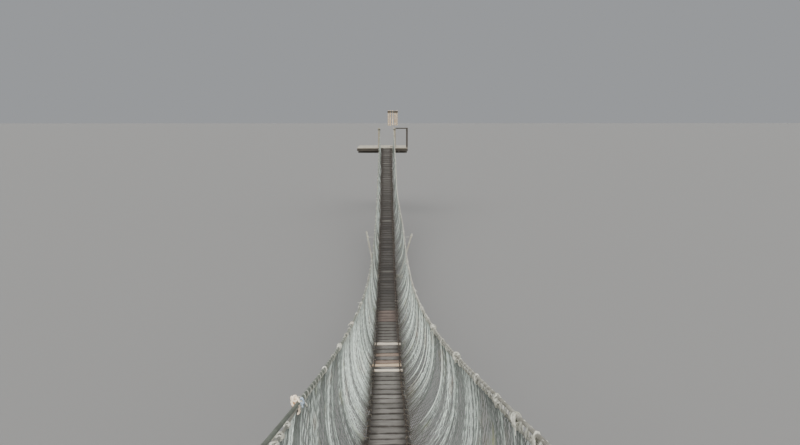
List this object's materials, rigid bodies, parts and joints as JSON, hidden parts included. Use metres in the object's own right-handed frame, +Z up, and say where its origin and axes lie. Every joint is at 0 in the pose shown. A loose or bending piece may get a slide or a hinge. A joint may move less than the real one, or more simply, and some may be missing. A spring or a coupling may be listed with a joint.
{
  "type": "rope suspension footbridge",
  "caption": "Rope suspension footbridge: a sagging plank walk between rope side nets and hand ropes, with a timber landing built around a tree at each end.",
  "frame": {"origin": "on the flat face of the near landing's front clamp beam that bears on the tree trunk, at half its height and in the centre plane of the walk", "axes": "+Y along the bridge from the near landing to the far one, +X to the right, +Z up"},
  "size_m": [3.2, 34.2, 5.5399],
  "materials": {
    "plank": "weathered",
    "net": "matt",
    "rope": "matt",
    "cable": "matt",
    "timber": "weathered",
    "board": "weathered",
    "pole": "weathered"
  },
  "bodies": {
    "root": {"walk_section_1": "plank", "walk_section_2": "plank", "walk_section_3": "plank", "walk_section_4": "plank", "walk_section_5": "plank", "deck_cable_left": "cable", "hand_cable_left": "cable", "net_head_rope_left": "rope", "net_left_1": "net", "net_left_2": "net", "net_left_3": "net", "net_left_4": "net", "net_left_5": "net", "spreader_pole_left": "pole", "deck_cable_right": "cable", "hand_cable_right": "cable", "net_head_rope_right": "rope", "net_right_1": "net", "net_right_2": "net", "net_right_3": "net", "net_right_4": "net", "net_right_5": "net", "spreader_pole_right": "pole", "spreader_crossbar": "pole", "near_floor": "board", "near_joists": "timber", "near_sill_beam": "timber", "near_clamp_beam_front": "timber", "near_clamp_beam_back": "timber", "near_entry_post_left": "pole", "near_entry_post_right": "pole", "near_corner_rail": "timber", "near_trunk_collar": "board", "far_floor": "board", "far_joists": "timber", "far_sill_beam": "timber", "far_clamp_beam_front": "timber", "far_clamp_beam_back": "timber", "far_entry_post_left": "pole", "far_entry_post_right": "pole", "far_corner_rail": "timber", "far_trunk_collar": "board"}
  },
  "joints": []
}
